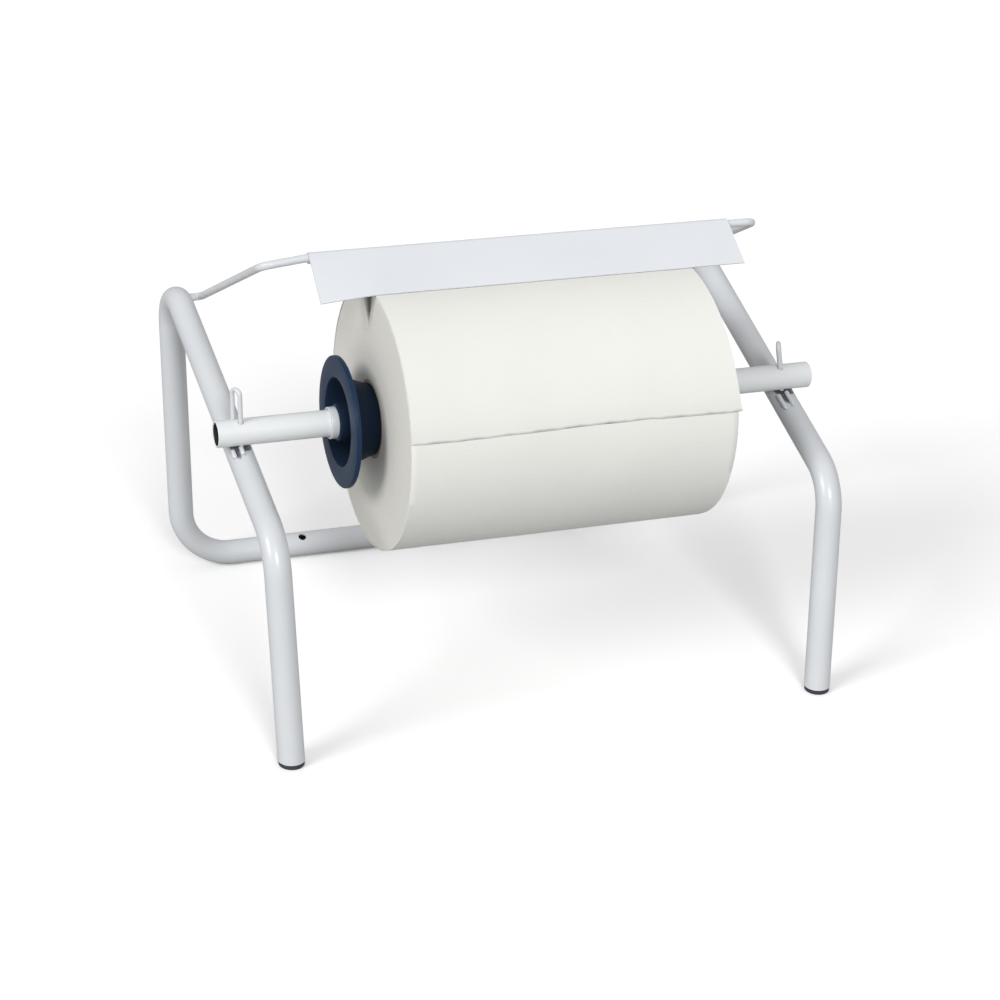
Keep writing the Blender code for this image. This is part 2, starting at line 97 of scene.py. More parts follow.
def bent_line(corners, radii, pitch, arc_pitch):
    """Points, directions and pulls along straight runs joined by arcs, a pitch apart. A point of an arc is
    centre + start * cos(angle) + onward * sin(angle). The pull aims at the arc's centre, and its length
    swells as the sine of the share of the arc that is done."""
    corners = np.array(corners, float)
    points, ways, pulls = [], [], []
    here = corners[0]
    for before, corner, after, radius in zip(corners, corners[1:], corners[2:], radii):
        back, ahead = unit(before - corner), unit(after - corner)
        half_open = np.arccos(back @ ahead) / 2
        centre = corner + unit(back + ahead) * radius / np.sin(half_open)
        start = corner + back * radius / np.tan(half_open) - centre
        turn = np.pi - 2 * half_open
        run = np.linalg.norm(centre + start - here)
        share = np.linspace(0, 1, max(2, int(run / pitch)), endpoint=False)[:, None]
        points.append(here + (centre + start - here) * share)
        ways.append(np.repeat([-back], len(share), axis=0))
        pulls.append(np.zeros((len(share), 3)))
        share = np.linspace(0, 1, max(6, int(turn * radius / arc_pitch)), endpoint=False)[:, None]
        spoke = start * np.cos(turn * share) - back * radius * np.sin(turn * share)
        points.append(centre + spoke)
        ways.append(unit(-back * np.cos(turn * share) - unit(start) * np.sin(turn * share)))
        pulls.append(-unit(spoke) * np.sin(np.pi * share))
        here = centre + start * np.cos(turn) - back * radius * np.sin(turn)
    run = np.linalg.norm(corners[-1] - here)
    share = np.linspace(0, 1, max(3, int(run / pitch)))[:, None]
    points.append(here + (corners[-1] - here) * share)
    ways.append(np.repeat([unit(corners[-1] - here)], len(share), axis=0))
    pulls.append(np.zeros((len(share), 3)))
    return np.concatenate(points), np.concatenate(ways), np.concatenate(pulls)


def rings_on(line, radius, sides, lay, flattening=0.0):
    """Rings square to a line: point + radius * (cos(angle) * across + sin(angle) * other), where across is
    one fixed direction less its share along the line. A bend's rings are flattened towards its centre."""
    points, ways, pulls = line
    lay = np.array(lay, float)
    across = unit(lay - ways * (ways @ lay)[:, None])
    other = np.cross(ways, across)
    angles = 2 * np.pi * np.arange(sides)[None, :, None] / sides
    reach = np.broadcast_to(np.asarray(radius, float).reshape(-1, 1, 1), (len(points), 1, 1))
    spokes = reach * (np.cos(angles) * across[:, None] + np.sin(angles) * other[:, None])
    inward = np.sum(spokes * pulls[:, None], axis=2, keepdims=True)
    return points[:, None] + spokes - flattening * inward * unit(pulls)[:, None]


def level_end(rings, end, neighbour, height):
    """Slides an end ring along its tube until all of it lies at one height."""
    way = unit(rings[end].mean(axis=0) - rings[neighbour].mean(axis=0))
    rings[end] += ((height - rings[end][:, 2]) / way[2])[:, None] * way


def skin(rings, loop=False, caps=False):
    """Quads between neighbouring rings. A loop joins the last ring to the first; caps close each end by a fan
    about the middle of its ring."""
    rows, sides = rings.shape[:2]
    row, side = np.meshgrid(np.arange(rows if loop else rows - 1), np.arange(sides), indexing="ij")
    beside = (side + 1) % sides
    above = (row + 1) % rows
    quads = (row * sides + side, row * sides + beside, above * sides + beside, above * sides + side)
    faces = np.stack(quads, -1).reshape(-1, 4).tolist()
    points = rings.reshape(-1, 3)
    if caps:
        turn = np.arange(sides)
        for first, middle in ((0, len(points)), (len(points) - sides, len(points) + 1)):
            fan = np.stack([first + turn, first + (turn + 1) % sides, np.full(sides, middle)], -1)
            faces += fan.tolist()
        points = np.vstack([points, rings[0].mean(axis=0), rings[-1].mean(axis=0)])
    return points, faces


def make_piece(name, points, faces, sharp_degrees=30):
    """One closed piece whose faces point outwards, smooth but for edges sharper than the given angle."""
    mesh = bpy.data.meshes.new(name)
    mesh.from_pydata(np.asarray(points).tolist(), [], faces)
    work = bmesh.new()
    work.from_mesh(mesh)
    bmesh.ops.recalc_face_normals(work, faces=work.faces)
    work.to_mesh(mesh)
    work.free()
    mesh.shade_smooth()
    mesh.set_sharp_from_angle(angle=np.radians(sharp_degrees))
    piece = bpy.data.objects.new(name, mesh)
    bpy.context.scene.collection.objects.link(piece)
    return piece


def straight_rod(start, end, radius, sides):
    """A plain round bar between two points."""
    way = unit(np.subtract(end, start))
    line = (np.array([start, end], float), np.array([way, way]), np.zeros((2, 3)))
    return skin(rings_on(line, radius, sides, np.roll(way, 1) + (0.1, 0.2, 0.3)), caps=True)


def drill(piece, bits):
    """Cuts the given solids out of a piece and keeps the result as its mesh."""
    drills = []
    for index, (points, faces) in enumerate(bits):
        bit = make_piece(f"{piece.name}_bit_{index}", points, faces)
        step = piece.modifiers.new(bit.name, "BOOLEAN")
        step.operation = "DIFFERENCE"
        step.solver = "EXACT"
        step.object = bit
        drills.append(bit)
    bpy.context.view_layer.update()
    shaped = piece.evaluated_get(bpy.context.evaluated_depsgraph_get())
    cut_mesh = bpy.data.meshes.new_from_object(shaped)
    piece.modifiers.clear()
    piece.data = cut_mesh
    piece.data.shade_smooth()
    piece.data.set_sharp_from_angle(angle=np.radians(30))
    for bit in drills:
        bpy.data.objects.remove(bit)


class Wire:
    """A socket of a material's nodes that can be added, multiplied and compared in plain formulas."""

    def __init__(self, finish, socket):
        self.finish = finish
        self.socket = socket

    def math(self, operation, *others):
        """One step of arithmetic, named as Blender names it."""
        return self.finish.node("ShaderNodeMath", (self, *others), operation=operation)

    def __add__(self, other):
        return self.math("ADD", other)

    def __sub__(self, other):
        return self.math("SUBTRACT", other)

    def __rsub__(self, other):
        return (self * -1) + other

    def __mul__(self, other):
        return self.math("MULTIPLY", other)

    def __truediv__(self, other):
        return self.math("DIVIDE", other)

    def rise(self, low, high):
        """0 below low, 1 above high, smooth between."""
        return self.finish.node("ShaderNodeMapRange", {"Value": self, "From Min": low, "From Max": high},
                                interpolation_type="SMOOTHSTEP")

    def part(self, index):
        """One of the three parts of a place: 0, 1 or 2 for x, y or z."""
        return self.finish.node("ShaderNodeSeparateXYZ", (self,), output=index)

    def length(self):
        """How long a vector is."""
        return self.finish.node("ShaderNodeVectorMath", (self,), output="Value", operation="LENGTH")

    def turn_to(self, other):
        """The angle whose tangent is this divided by the other."""
        return self.math("ARCTAN2", other)


class Finish:
    """A surface finish: one Principled surface with the nodes that vary it."""

    def __init__(self, name, colour, **fixed):
        self.material = bpy.data.materials.new(name)
        self.material.use_nodes = True
        self.surface = self.material.node_tree.nodes["Principled BSDF"]
        self.surface.inputs["Base Color"].default_value = (*colour, 1)
        for socket, value in fixed.items():
            self.surface.inputs[socket.replace("_", " ")].default_value = value

    def node(self, kind, inputs=(), output=0, **settings):
        """Any node, with its inputs given in order or by name, as numbers, colours or wires."""
        made = self.material.node_tree.nodes.new(kind)
        for setting, value in settings.items():
            setattr(made, setting, value)
        pairs = inputs.items() if isinstance(inputs, dict) else enumerate(inputs)
        for key, value in pairs:
            if isinstance(value, Wire):
                self.material.node_tree.links.new(value.socket, made.inputs[key])
            else:
                made.inputs[key].default_value = value
        return Wire(self, made.outputs[output])

    def place(self, centre=(0, 0, 0), stretch=(1, 1, 1)):
        """Where a point is on the piece, measured from a centre and stretched along each axis."""
        spot = self.node("ShaderNodeTexCoord", output="Object")
        shift = tuple(-along * factor for along, factor in zip(centre, stretch))
        return self.node("ShaderNodeMapping", {"Vector": spot, "Location": shift, "Scale": stretch})

    def speckle(self, place, scale, detail=2.0, rough=0.5):
        """Soft noise from 0 to 1."""
        return self.node("ShaderNodeTexNoise",
                         {"Vector": place, "Scale": scale, "Detail": detail, "Roughness": rough})

    def tint(self, share, first, second):
        """A colour between two others, each given as a colour or as a wire. Inputs 6 and 7 and output 2 are
        the node's colours."""
        first, second = [(*tone, 1) if isinstance(tone, tuple) else tone for tone in (first, second)]
        return self.node("ShaderNodeMix", {"Factor": share, 6: first, 7: second}, output=2, data_type="RGBA")

    def feed(self, socket, wire):
        """Leads a wire into one of the surface's sockets."""
        self.material.node_tree.links.new(wire.socket, self.surface.inputs[socket])

    def relief(self, height, depth, strength=1.0):
        """Small bumps: a height of 1 stands for the given depth in metres."""
        bump = {"Height": height, "Distance": depth, "Strength": strength}
        self.feed("Normal", self.node("ShaderNodeBump", bump))

    def on(self, piece):
        """Gives a piece this finish alone."""
        piece.data.materials.clear()
        piece.data.materials.append(self.material)


def powder_coat(name, colour, shade, roughness):
    """Baked powder coat: a soft sheen, a fine orange peel, faint clouds of tone and tiny specks."""
    coat = Finish(name, colour, Specular_IOR_Level=0.45, Coat_Roughness=0.16)
    spot = coat.place()
    clouds = coat.speckle(spot, 9.0, 3.0)
    peel = coat.speckle(spot, 420.0, 2.0)
    specks = coat.speckle(spot, 1500.0, 1.0).rise(0.66, 0.76)
    coat.tone = coat.tint(clouds.rise(0.3, 0.7) * 0.6 + specks * 0.4, colour, shade)
    coat.feed("Base Color", coat.tone)
    coat.feed("Roughness", clouds * 0.10 + peel * 0.05 + (roughness - 0.07))
    coat.feed("Coat Weight", clouds.rise(0.2, 0.8) * 0.12 + 0.22)
    coat.relief(peel + clouds * 0.4, 0.00012, 0.35)
    return coat


corners = [(FOOT_HEIGHT * KNEE[0] / KNEE[1], FOOT_HEIGHT), KNEE, TOP, (TOP[0], BAR_HEIGHT)]
left_side = [(-side_x(z), FOOT_Y + y, z) for y, z in corners]
right_side = [(-x, y, z) for x, y, z in left_side]
stand_line = bent_line(left_side + right_side[::-1], BEND_RADII + BEND_RADII[::-1], *TUBE_STEPS)
walls = []
for radius in (TUBE_RADIUS, TUBE_RADIUS - TUBE_WALL):
    rings = rings_on(stand_line, radius, TUBE_SIDES, (0.8, 0.55, 0.1), BEND_FLATTENING)
    level_end(rings, 0, 1, FOOT_HEIGHT)
    level_end(rings, -1, -2, FOOT_HEIGHT)
    walls.append(rings)
stand = make_piece("stand_tube", *skin(np.concatenate([walls[0], walls[1][::-1]]), loop=True))
tube_coat = powder_coat("tube_coat", (0.66, 0.68, 0.70), (0.61, 0.63, 0.66), 0.36)
# The insides of the tubes are bare steel, its colour made nearly black as painted shade in the bores.
bore_steel_and_shade = Finish("bore_steel_and_shade", (0.045, 0.045, 0.048), Metallic=0.4)
bore_steel_and_shade.feed("Roughness", bore_steel_and_shade.speckle(bore_steel_and_shade.place(), 600.0, 3.0) * 0.2 + 0.5)
tube_coat.on(stand)
stand.data.materials.append(bore_steel_and_shade.material)
inside_wall = np.arange(len(stand.data.polygons)) // TUBE_SIDES >= len(walls[0])
stand.data.polygons.foreach_set("material_index", inside_wall.astype(np.int32))
along_hole = np.array([0, -np.cos(HOLE_TILT), np.sin(HOLE_TILT)]) * DRILL_REACH
bar_points = [np.array([side * HOLE_HALF_SPACING, FOOT_Y + TOP[0], BAR_HEIGHT]) for side in SIDES.values()]
drill(stand, [straight_rod(spot - along_hole, spot + along_hole, HOLE_RADIUS, HOLE_SIDES)
              for spot in bar_points])
# Painted shade: darkens the coat close to the spindle's axis, and in a spot between each pin's feet.
from_axis = tube_coat.place((0, AXIS_Y, AXIS_Z), (0, 1, 1)).length()
tube_coat.tone = tube_coat.tint(from_axis.rise(*SHADE_BELOW_SPINDLE), PAINTED_SHADE_COLOUR, tube_coat.tone)
for name, side in SIDES.items():
    across, onward = SHADE_SPOT_OFFSETS[name]
    between_feet = (side * side_x(SHADE_SPOT_HEIGHT) + across, AXIS_Y + onward, SHADE_SPOT_HEIGHT)
    from_spot = tube_coat.place(between_feet, SHADE_SPOT_STRETCH).length()
    tube_coat.tone = tube_coat.tint(from_spot.rise(*SHADE_SPOT_RADII), PAINTED_SHADE_COLOUR, tube_coat.tone)
tube_coat.feed("Base Color", tube_coat.tone)
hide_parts("frame_tube")
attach(stand, "stand")


# The foot plugs: dark moulded plastic, pushed into the ends of the legs. A disc on each keeps the tube off
# the bench.
PLUG_DISC_RADIUS = 0.0096
PLUG_DISC = 0.0035
PLUG_EDGE = 0.0007
PLUG_STEM = 0.014
PLUG_STEM_RADIUS = 0.0082
PLUG_SIDES = 48

plug_plastic = Finish("plug_plastic", (0.035, 0.036, 0.052), Specular_IOR_Level=0.4)
plug_grain = plug_plastic.speckle(plug_plastic.place(), 900.0, 3.0)
plug_plastic.feed("Base Color", plug_plastic.tint(plug_grain, (0.030, 0.031, 0.046), (0.050, 0.052, 0.070)))
plug_plastic.feed("Roughness", plug_grain * 0.2 + 0.42)
plug_plastic.relief(plug_grain, 0.00008, 0.5)
plug_profile = [(0, PLUG_DISC_RADIUS - PLUG_EDGE), (PLUG_EDGE, PLUG_DISC_RADIUS),
                (PLUG_DISC - PLUG_EDGE, PLUG_DISC_RADIUS), (PLUG_DISC, PLUG_DISC_RADIUS - PLUG_EDGE),
                (PLUG_DISC, PLUG_STEM_RADIUS), (PLUG_DISC + PLUG_STEM, PLUG_STEM_RADIUS)]
for name, side in SIDES.items():
    step = np.array([side * FLARE, KNEE[0] / KNEE[1], 1])
    foot = np.array([side * side_x(0), FOOT_Y, 0])
    rings = []
    for height, radius in plug_profile:
        line = (np.array([foot + step * height, foot + step * (height + PLUG_STEM)]),
                unit([step, step]), np.zeros((2, 3)))
        ring = rings_on(line, radius, PLUG_SIDES, (1, 0, 0))
        level_end(ring, 0, 1, height)
        rings.append(ring[0])
    plug = make_piece("leg_plug_" + name, *skin(np.array(rings), caps=True))
    plug_plastic.on(plug)
    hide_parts("foot_plug_" + name)
    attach(plug, "stand")


# The spindle: a straight length of the same tube laid across the rails, its ends cut square and lightly
# broken. Over each rail both legs of a locating pin pass through drilled holes. Coated like the stand, but
# bare inside, where the steel is painted nearly black as shade.
SPINDLE_RADIUS = 0.010
SPINDLE_WALL = 0.0015
EDGE_BREAK = 0.0004
SPINDLE_STEP = 0.012
ROUND_SIDES = 96
PIN_HOLE_RADIUS = 0.00215
PIN_HOLE_SIDES = 32
PIN_SPACING = 0.0082
PIN_SHIFT = -0.003
PIN_TURN = np.radians(62)
PIN_LEANS = {"left": np.radians(2), "right": np.radians(10)}
PIN_HOLE_REACH = (0.005, 0.025)
RAIL_AT_SPINDLE = KNEE[1] + (AXIS_FROM_FOOT - KNEE[0]) * RAIL_RISE


def round_axis(x, radius, angles):
    """Points at x along the spindle: y = axis + radius * cos(angle), z = axis + radius * sin(angle)."""
    return np.stack([x, AXIS_Y + radius * np.cos(angles), AXIS_Z + radius * np.sin(angles)], -1)


def turned(profile, sides, pitch=None):
    """A closed (x, radius) profile turned about the spindle's axis. A pitch splits its longer edges."""
    profile = np.array(profile, float)
    if pitch:
        edges = []
        for start, end in zip(profile, np.roll(profile, -1, axis=0)):
            count = max(1, int(np.hypot(*(end - start)) / pitch))
            edges.append(start + (end - start) * np.arange(count)[:, None] / count)
        profile = np.concatenate(edges)
    angles = 2 * np.pi * np.arange(sides) / sides
    return skin(round_axis(np.repeat(profile[:, :1], sides, axis=1), profile[:, 1:], angles), loop=True)


def pin_place(name):
    """The point under the spindle between a pin's legs, the way up along them, and the half step from it to
    one leg: across less its share along the way up."""
    side, lean = SIDES[name], PIN_LEANS[name]
    middle = np.array([side * side_x(RAIL_AT_SPINDLE) + PIN_SHIFT, AXIS_Y, AXIS_Z - SPINDLE_RADIUS])
    up = np.array([-np.sin(lean), 0, np.cos(lean)])
    across = np.array([np.cos(PIN_TURN), side * np.sin(PIN_TURN), 0])
    return middle, up, unit(across - up * (across @ up)) * PIN_SPACING / 2


bore = SPINDLE_RADIUS - SPINDLE_WALL
outer_edge, inner_edge = SPINDLE_RADIUS - EDGE_BREAK, bore + EDGE_BREAK
from_x, to_x = spindle_low.x, spindle_high.x
spindle_profile = [(from_x, inner_edge), (from_x, outer_edge), (from_x + EDGE_BREAK, SPINDLE_RADIUS),
                   (to_x - EDGE_BREAK, SPINDLE_RADIUS), (to_x, outer_edge), (to_x, inner_edge),
                   (to_x - EDGE_BREAK, bore), (from_x + EDGE_BREAK, bore)]
spindle = make_piece("spindle_tube", *turned(spindle_profile, ROUND_SIDES, SPINDLE_STEP))
holes = []
for name in SIDES:
    middle, up, half = pin_place(name)
    for foot in (middle - half, middle + half):
        below, above = foot - up * PIN_HOLE_REACH[0], foot + up * PIN_HOLE_REACH[1]
        holes.append(straight_rod(below, above, PIN_HOLE_RADIUS, PIN_HOLE_SIDES))
spindle_coat = powder_coat("spindle_coat", (0.80, 0.82, 0.83), (0.74, 0.76, 0.775), 0.33)
spindle_coat.on(spindle)
# The bore gets the bare steel, painted nearly black as shade.
spindle.data.materials.append(bore_steel_and_shade.material)
for face in spindle.data.polygons:
    off_axis = np.hypot(face.center.y - AXIS_Y, face.center.z - AXIS_Z)
    face.material_index = int(off_axis < bore + EDGE_BREAK / 4)
drill(spindle, holes)
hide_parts("spindle")
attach(spindle, "stand")


# The locating pins: a hairpin of 3.5 mm wire stands on each rail, leaning a little to the left, and passes up
# through the spindle. Two wire feet run forward from it along the rail, welded down and coated over.
PIN_RADIUS = 0.00175
PIN_SIDES = 28
PIN_STEPS = (0.002, 0.0004)
PIN_RISES = {"left": 0.0355, "right": 0.0305}
PIN_CLEARANCE = 0.0008
PIN_CROWN_SHARE = 0.98
FOOT_TURNS = np.radians([-8, -42])
FOOT_ENDS = {"left": (-0.0005, -0.0078), "right": (-0.0020, -0.0172)}
FOOT_REACH = 0.0112
FOOT_POINTS = 12
FOOT_SIDES = 24
FOOT_TIP_SHARE = 0.2

wire_coat = powder_coat("wire_coat", (0.70, 0.72, 0.74), (0.65, 0.67, 0.70), 0.38)
for name, side in SIDES.items():
    middle, up, half = pin_place(name)
    top = middle + up * (SPINDLE_RADIUS + PIN_RISES[name] - PIN_RADIUS)
    clear = up * PIN_CLEARANCE
    line = bent_line([middle - half + clear, top - half, top + half, middle + half + clear],
                     [PIN_SPACING / 2 * PIN_CROWN_SHARE] * 2, *PIN_STEPS)
    points, faces = skin(rings_on(line, PIN_RADIUS, PIN_SIDES, (0.2, side * 0.3, 0.1)), caps=True)
    for turn in FOOT_TURNS:
        beyond = np.linspace(*FOOT_ENDS[name], FOOT_POINTS)
        height = RAIL_AT_SPINDLE + beyond * RAIL_RISE
        outward = np.sin(turn) * np.array([1, 0, 0]) + np.cos(turn) * unit([0, -RAIL_RISE, 1])
        along = np.stack([side * side_x(height), AXIS_Y + beyond, height], -1) + outward * FOOT_REACH
        to_tip = np.clip((np.linspace(0, 1, FOOT_POINTS) - 1) / FOOT_TIP_SHARE + 1, 0, 1)
        swell = PIN_RADIUS * np.clip(1 - to_tip ** 2, 0.15, 1) ** 0.5
        foot_line = (along, unit(np.gradient(along, axis=0)), np.zeros_like(along))
        foot_points, foot_faces = skin(rings_on(foot_line, swell, FOOT_SIDES, (1, 0.1, 0.2)), caps=True)
        faces += [[index + len(points) for index in face] for face in foot_faces]
        points = np.vstack([points, foot_points])
    pin = make_piece("hairpin_" + name, points, faces)
    wire_coat.on(pin)
    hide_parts("locating_pin_" + name)
    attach(pin, "stand")


# The blade's rod: 6 mm steel wire whose short ends are welded to the inner sides of the top bends. Its arms
# run forward over the roll to the straight length that carries the blade; the left corner sags a little.
ROD_RADIUS = 0.003
ROD_BEHIND_AXIS = 0.0324
ROD_Z = 0.334
ROD_HALF_SPAN = 0.196
ROD_SAG = 0.0034
ROD_SAG_LENGTH = 0.0325
WELD_FROM_FOOT = 0.3085
WELD_Z = 0.24751
ROD_STUB = 0.0097
ROD_BENDS = (0.007, 0.009, 0.03, 0.009, 0.007)
ROD_STEPS = (0.006, 0.0008)
ROD_SIDES = 40
CLEARANCE = 0.0003

rod_y = AXIS_Y + ROD_BEHIND_AXIS
weld_y = FOOT_Y + WELD_FROM_FOOT
weld_x = side_x(WELD_Z) - TUBE_RADIUS - CLEARANCE
stub_x = weld_x - ROD_STUB
rod_corners = [(-weld_x, weld_y, WELD_Z), (-stub_x, weld_y, WELD_Z),
               (-ROD_HALF_SPAN, rod_y, ROD_Z - ROD_SAG), (ROD_SAG_LENGTH - ROD_HALF_SPAN, rod_y, ROD_Z),
               (ROD_HALF_SPAN, rod_y, ROD_Z), (stub_x, weld_y, WELD_Z), (weld_x, weld_y, WELD_Z)]
rod_line = bent_line(rod_corners, ROD_BENDS, *ROD_STEPS)
rod = make_piece("blade_rod", *skin(rings_on(rod_line, ROD_RADIUS, ROD_SIDES, (0.1, 0.35, 0.9)), caps=True))
wire_coat.on(rod)
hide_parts("tear_rod")
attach(rod, "stand")


# The tear blade: 0.9 mm sheet steel, its back edge rolled into a hem round the rod so that it swings, its
# front edge resting on the paper. Past the roll its left end is bent down a little. White coat, bare face.
BLADE_SHEET = 0.0009
BLADE_LENGTH = 0.3331
BLADE_SHIFT = 0.00535
BLADE_DEPTH = 0.042
HEM_TURN = np.radians(300)
EDGE_RADIUS = 0.0999
END_BEND = np.radians(7)
END_BEND_X = (-0.116, -0.162)
END_BEND_RAMP_SHARE = 0.3
BLADE_COLUMNS = 90
HEM_STEPS = 60
PLATE_STEPS = 24

hem_inner = ROD_RADIUS + CLEARANCE
hem_outer = hem_inner + BLADE_SHEET
rod_point = np.array([rod_y, ROD_Z])
to_axis = np.array([AXIS_Y, AXIS_Z]) - rod_point
edge_reach = np.hypot(hem_inner, BLADE_DEPTH)
spread = np.arccos((edge_reach ** 2 + to_axis @ to_axis - EDGE_RADIUS ** 2)
                   / (2 * edge_reach * np.linalg.norm(to_axis)))
plate_angle = np.arctan2(to_axis[1], to_axis[0]) - spread + np.arctan2(hem_inner, BLADE_DEPTH)
down_plate = np.array([np.cos(plate_angle), np.sin(plate_angle)])
off_plate = np.array([down_plate[1], -down_plate[0]])
curl = np.linspace(0, 1, HEM_STEPS)[:, None] * HEM_TURN
curl = np.cos(curl) * off_plate - np.sin(curl) * down_plate
plate = np.linspace(1, 0, PLATE_STEPS, endpoint=False)[:, None] * BLADE_DEPTH * down_plate
inside = np.vstack([rod_point + off_plate * hem_inner + plate, rod_point + hem_inner * curl])
outside = np.vstack([rod_point + off_plate * hem_outer + plate, rod_point + hem_outer * curl])
outline = np.vstack([inside, outside[::-1]])
columns = BLADE_SHIFT + BLADE_LENGTH * (np.linspace(0, 1, BLADE_COLUMNS) - 0.5)
bent = END_BEND * np.clip((columns - END_BEND_X[0]) / (END_BEND_X[1] - END_BEND_X[0]), 0, 1)[:, None] ** 1.2
from_rod = outline - rod_point
reach = np.clip((from_rod @ down_plate) / BLADE_DEPTH, 0, 1)
bent = bent * np.clip(reach / END_BEND_RAMP_SHARE, 0, 1)
rings = np.stack([np.broadcast_to(columns[:, None], bent.shape),
                  rod_point[0] + from_rod[:, 0] * np.cos(bent) - from_rod[:, 1] * np.sin(bent),
                  rod_point[1] + from_rod[:, 0] * np.sin(bent) + from_rod[:, 1] * np.cos(bent)], -1)
count, half_count = len(outline), len(inside)
points, faces = skin(rings)
for first in (0, (BLADE_COLUMNS - 1) * count):
    near = first + np.arange(half_count - 1)
    far = first + count - 1 - np.arange(half_count - 1)
    faces += np.stack([near, near + 1, far - 1, far], -1).tolist()
blade = make_piece("blade_sheet", points, faces)
blade_coat = powder_coat("blade_coat", (0.74, 0.76, 0.79), (0.69, 0.71, 0.75), 0.34)
blade_coat.on(blade)
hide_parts("tear_blade")
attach(blade, "blade")


# The centring cones: navy plastic, moulded hollow with a broad flange, a web and a hub that turns on the
# spindle. They push into the ends of the roll's core and carry it. The taper and the cup inside are painted
# darker as shade.
CORE_FACES = {"left": -0.1206, "right": 0.1264}
FLANGE_STANDOFF = 0.0254
FLANGE_RADIUS = 0.0495
FLANGE_THICKNESS = 0.004
FLANGE_ROUNDING = 0.0012
CONE_ROOT = 0.034
CONE_FACE_RADIUS = 0.0262
CONE_WALL = 0.0024
CONE_NOSE = 0.014
CONE_WEB = 0.003
HUB_RADIUS = 0.0144
HUB_PROUD = 0.0012
HUB_BORE = 0.0103
CONE_SIDES = 120
TAPER_SHADE_RINGS = (9, 15)
CUP_SHADE_RINGS = (24, 38)


def eased(profile, amount, steps=4):
    """Rounds each corner of a closed (x, radius) profile by (1 - t)^2 * start + 2 t (1 - t) * corner
    + t^2 * end, where start and end lie on its two edges and take up less than half of either."""
    profile = np.array(profile, float)
    limits = []
    for neighbour in (np.roll(profile, 1, axis=0), np.roll(profile, -1, axis=0)):
        reach = np.minimum(amount, 0.45 * np.linalg.norm(neighbour - profile, axis=1))[:, None]
        limits.append((profile + unit(neighbour - profile) * reach)[:, None])
    start, end = limits
    t = np.linspace(0, 1, steps)[None, :, None]
    return ((1 - t) ** 2 * start + 2 * t * (1 - t) * profile[:, None] + t ** 2 * end).reshape(-1, 2)


def moulded(name, colour, shade, sheen, dullness):
    """Moulded plastic: soft flow marks between two shades, and a fine grain in its gloss and surface."""
    plastic = Finish(name, colour, Specular_IOR_Level=sheen)
    spot = plastic.place((0, AXIS_Y, AXIS_Z))
    flow = plastic.speckle(spot, 30.0, 3.0)
    grain = plastic.speckle(spot, 1100.0, 2.0)
    plastic.feed("Base Color", plastic.tint(flow, shade, colour))
    plastic.feed("Roughness", flow * 0.12 + grain * 0.06 + dullness)
    plastic.relief(grain + flow * 0.5, 0.00008, 0.35)
    return plastic


cone_plastic = moulded("cone_plastic", (0.017, 0.038, 0.082), (0.012, 0.029, 0.066), 0.10, 0.26)
# Painted shade: darker copies of the navy for the taper and the inside of the cup, where shade falls.
taper_painted_shade = moulded("taper_painted_shade", (0.0080, 0.0165, 0.033), (0.0060, 0.0130, 0.026), 0.08, 0.30)
cup_painted_shade = moulded("cup_painted_shade", (0.0110, 0.0240, 0.050), (0.0085, 0.0190, 0.040), 0.05, 0.60)
nose = FLANGE_STANDOFF + CONE_NOSE
web_top = nose - CONE_WEB
taper = (CONE_ROOT - CONE_FACE_RADIUS) / (FLANGE_STANDOFF - FLANGE_THICKNESS)
nose_radius, web_radius, mouth_radius = CONE_ROOT - taper * (np.array([nose, web_top, 0]) - FLANGE_THICKNESS)
cone_profile = [(0, FLANGE_RADIUS), (FLANGE_THICKNESS, FLANGE_RADIUS), (FLANGE_THICKNESS, CONE_ROOT),
                (nose, nose_radius), (nose, HUB_BORE), (-HUB_PROUD, HUB_BORE), (-HUB_PROUD, HUB_RADIUS),
                (web_top, HUB_RADIUS), (web_top, web_radius - CONE_WALL), (0, mouth_radius - CONE_WALL)]
for name, side in SIDES.items():
    profile = eased(cone_profile, FLANGE_ROUNDING)
    profile[:, 0] = CORE_FACES[name] + side * (FLANGE_STANDOFF - profile[:, 0])
    cone = make_piece("centring_" + name, *turned(profile, CONE_SIDES))
    cone_plastic.on(cone)
    finish_at = np.zeros(len(profile), np.int32)
    for index, (plastic, rows) in enumerate([(taper_painted_shade, TAPER_SHADE_RINGS), (cup_painted_shade, CUP_SHADE_RINGS)], 1):
        cone.data.materials.append(plastic.material)
        finish_at[slice(*rows)] = index
    cone.data.polygons.foreach_set("material_index", np.repeat(finish_at, CONE_SIDES))
    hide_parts("cone_" + name)
    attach(cone, "centring_cone_" + name)


# The stop collars: short turned rings, coated white, that hold each cone in place. A socket set screw,
# threaded in from the rear and a little below, grips the spindle.
COLLAR_RADIUS = 0.012
COLLAR_WIDTH = 0.006
COLLAR_CHAMFER = 0.0009
SCREW_TURN = np.radians(-35)
SCREW_HOLE_RADIUS = 0.0018
SCREW_HOLE_SIDES = 32

